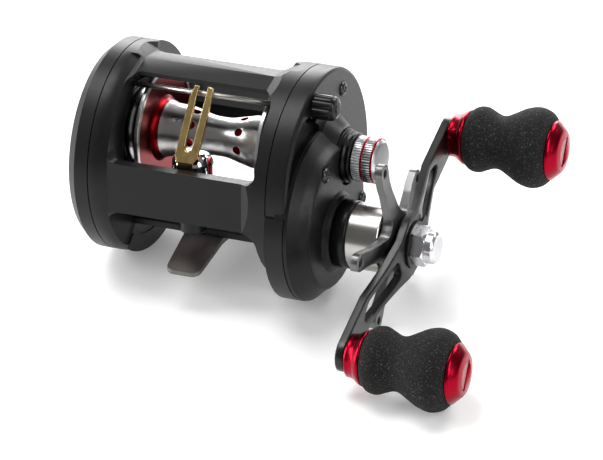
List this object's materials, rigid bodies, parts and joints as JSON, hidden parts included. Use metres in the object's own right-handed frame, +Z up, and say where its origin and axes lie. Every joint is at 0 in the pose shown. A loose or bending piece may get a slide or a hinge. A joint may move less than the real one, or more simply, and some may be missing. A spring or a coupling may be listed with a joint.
{
  "type": "baitcasting reel",
  "caption": "Round baitcasting reel: two covered side rings joined by bars over a rod foot, ported spool, level-wind guide, star drag and a swept twin-knob crank.",
  "frame": {"origin": "middle of the reel foot's underside, where it seats on the rod", "axes": "+X along the spool axis towards the handle, -Y towards the line guide, +Z up away from the rod"},
  "size_m": [0.1359, 0.1056, 0.0792],
  "materials": {
    "satin_black_paint": "satin fine-texture",
    "dark_steel": "polished dark",
    "steel": "bright",
    "chrome": "mirror",
    "silver_aluminium": "bright knurled",
    "spool_aluminium": "polished with red anodised faces",
    "red_aluminium": "red anodised",
    "foam": "speckled foam",
    "brass": "satin",
    "black_plastic": "satin",
    "white_plastic": "matt",
    "fibre": "woven"
  },
  "bodies": {
    "frame": {"frame": "satin_black_paint", "left_cover": "satin_black_paint", "gear_cover": "satin_black_paint", "reel_foot": "dark_steel", "foot_rivets": "steel", "guide_rod": "chrome", "cover_screws": "steel", "left_cover_screws": "steel", "spool_bearing_left": "steel", "spool_bearing_right": "steel", "drive_shaft_bearing": "steel", "brake_ring": "silver_aluminium", "drive_collar": "satin_black_paint", "bearing_sleeve": "chrome", "control_collar": "satin_black_paint", "yoke_posts": "steel", "yoke_springs": "steel", "worm_bushings": "brass", "one_way_bearing": "steel", "one_way_rollers": "steel"},
    "spool": {"spool": "spool_aluminium", "spool_shaft": "steel", "spool_pin": "steel", "brake_hub": "black_plastic", "brake_blocks": "white_plastic"},
    "handle": {"drive_shaft": "steel", "drive_gear": "brass", "drag_washers": "fibre", "drag_spring_washers": "steel", "level_wind_gear": "black_plastic", "one_way_tube": "steel", "handle_arm": "dark_steel", "handle_retainer": "satin_black_paint", "handle_nut": "chrome", "upper_spindle": "steel", "lower_spindle": "steel"},
    "star": {"star_drag": "dark_steel"},
    "upper_knob": {"upper_knob_collar": "red_aluminium", "upper_knob_grip": "foam", "upper_knob_cap": "red_aluminium", "upper_knob_bushing": "black_plastic"},
    "lower_knob": {"lower_knob_collar": "red_aluminium", "lower_knob_grip": "foam", "lower_knob_cap": "red_aluminium", "lower_knob_bushing": "black_plastic"},
    "cast_control": {"cast_control_knob": "silver_aluminium", "cast_control_rings": "red_aluminium"},
    "button": {"free_spool_button": "black_plastic", "clutch_cam": "silver_aluminium"},
    "yoke": {"clutch_yoke": "black_plastic"},
    "pinion_body": {"pinion": "brass"},
    "worm": {"worm_shaft": "steel", "worm_gear": "brass"},
    "line_guide": {"line_guide_carriage": "chrome", "line_guide_fork": "brass", "pawl": "steel", "pawl_cap": "chrome"}
  },
  "joints": [
    {"name": "handle_turn", "type": "hinge", "parent": "frame", "child": "handle", "pos_m": [0.06, -0.01, 0.0081], "axis": [1, 0, 0], "continuous": true},
    {"name": "spool_spin", "type": "hinge", "parent": "frame", "child": "spool", "pos_m": [0, -0.0005, 0.0288], "axis": [1, 0, 0], "continuous": true},
    {"name": "worm_spin", "type": "hinge", "parent": "frame", "child": "worm", "pos_m": [0, -0.0224, 0.01972], "axis": [1, 0, 0], "continuous": true},
    {"name": "button_press", "type": "slide", "parent": "frame", "child": "button", "axis": [0, 0, -1], "range_m": [0, 0.0035]},
    {"name": "yoke_slide", "type": "slide", "parent": "frame", "child": "yoke", "axis": [1, 0, 0], "range_m": [0, 0.0016], "stiffness_N_per_m": 300, "deforming": ["yoke_springs"]},
    {"name": "pinion_spin", "type": "hinge", "parent": "yoke", "child": "pinion_body", "pos_m": [0.035, -0.0005, 0.0288], "axis": [1, 0, 0], "continuous": true},
    {"name": "star_turn", "type": "hinge", "parent": "handle", "child": "star", "pos_m": [0.058, -0.01, 0.0081], "axis": [1, 0, 0], "range_deg": [-180, 180]},
    {"name": "upper_knob_spin", "type": "hinge", "parent": "handle", "child": "upper_knob", "pos_m": [0.08, 0.03045, 0.02783], "axis": [1, 0, 0], "continuous": true},
    {"name": "lower_knob_spin", "type": "hinge", "parent": "handle", "child": "lower_knob", "pos_m": [0.08, -0.05045, -0.01163], "axis": [1, 0, 0], "continuous": true},
    {"name": "cast_control_turn", "type": "hinge", "parent": "frame", "child": "cast_control", "pos_m": [0.048, -0.0005, 0.0288], "axis": [1, 0, 0], "range_deg": [-180, 180]},
    {"name": "line_guide_slide", "type": "slide", "parent": "frame", "child": "line_guide", "axis": [1, 0, 0], "range_m": [-0.0155, 0.0155]}
  ],
  "couplings": [
    {"joint": "spool_spin", "follows": "handle_turn", "ratio": -5.3},
    {"joint": "pinion_spin", "follows": "handle_turn", "ratio": -5.3},
    {"joint": "worm_spin", "follows": "handle_turn", "ratio": -1.4737},
    {"joint": "yoke_slide", "follows": "button_press", "ratio": 0.45714}
  ]
}
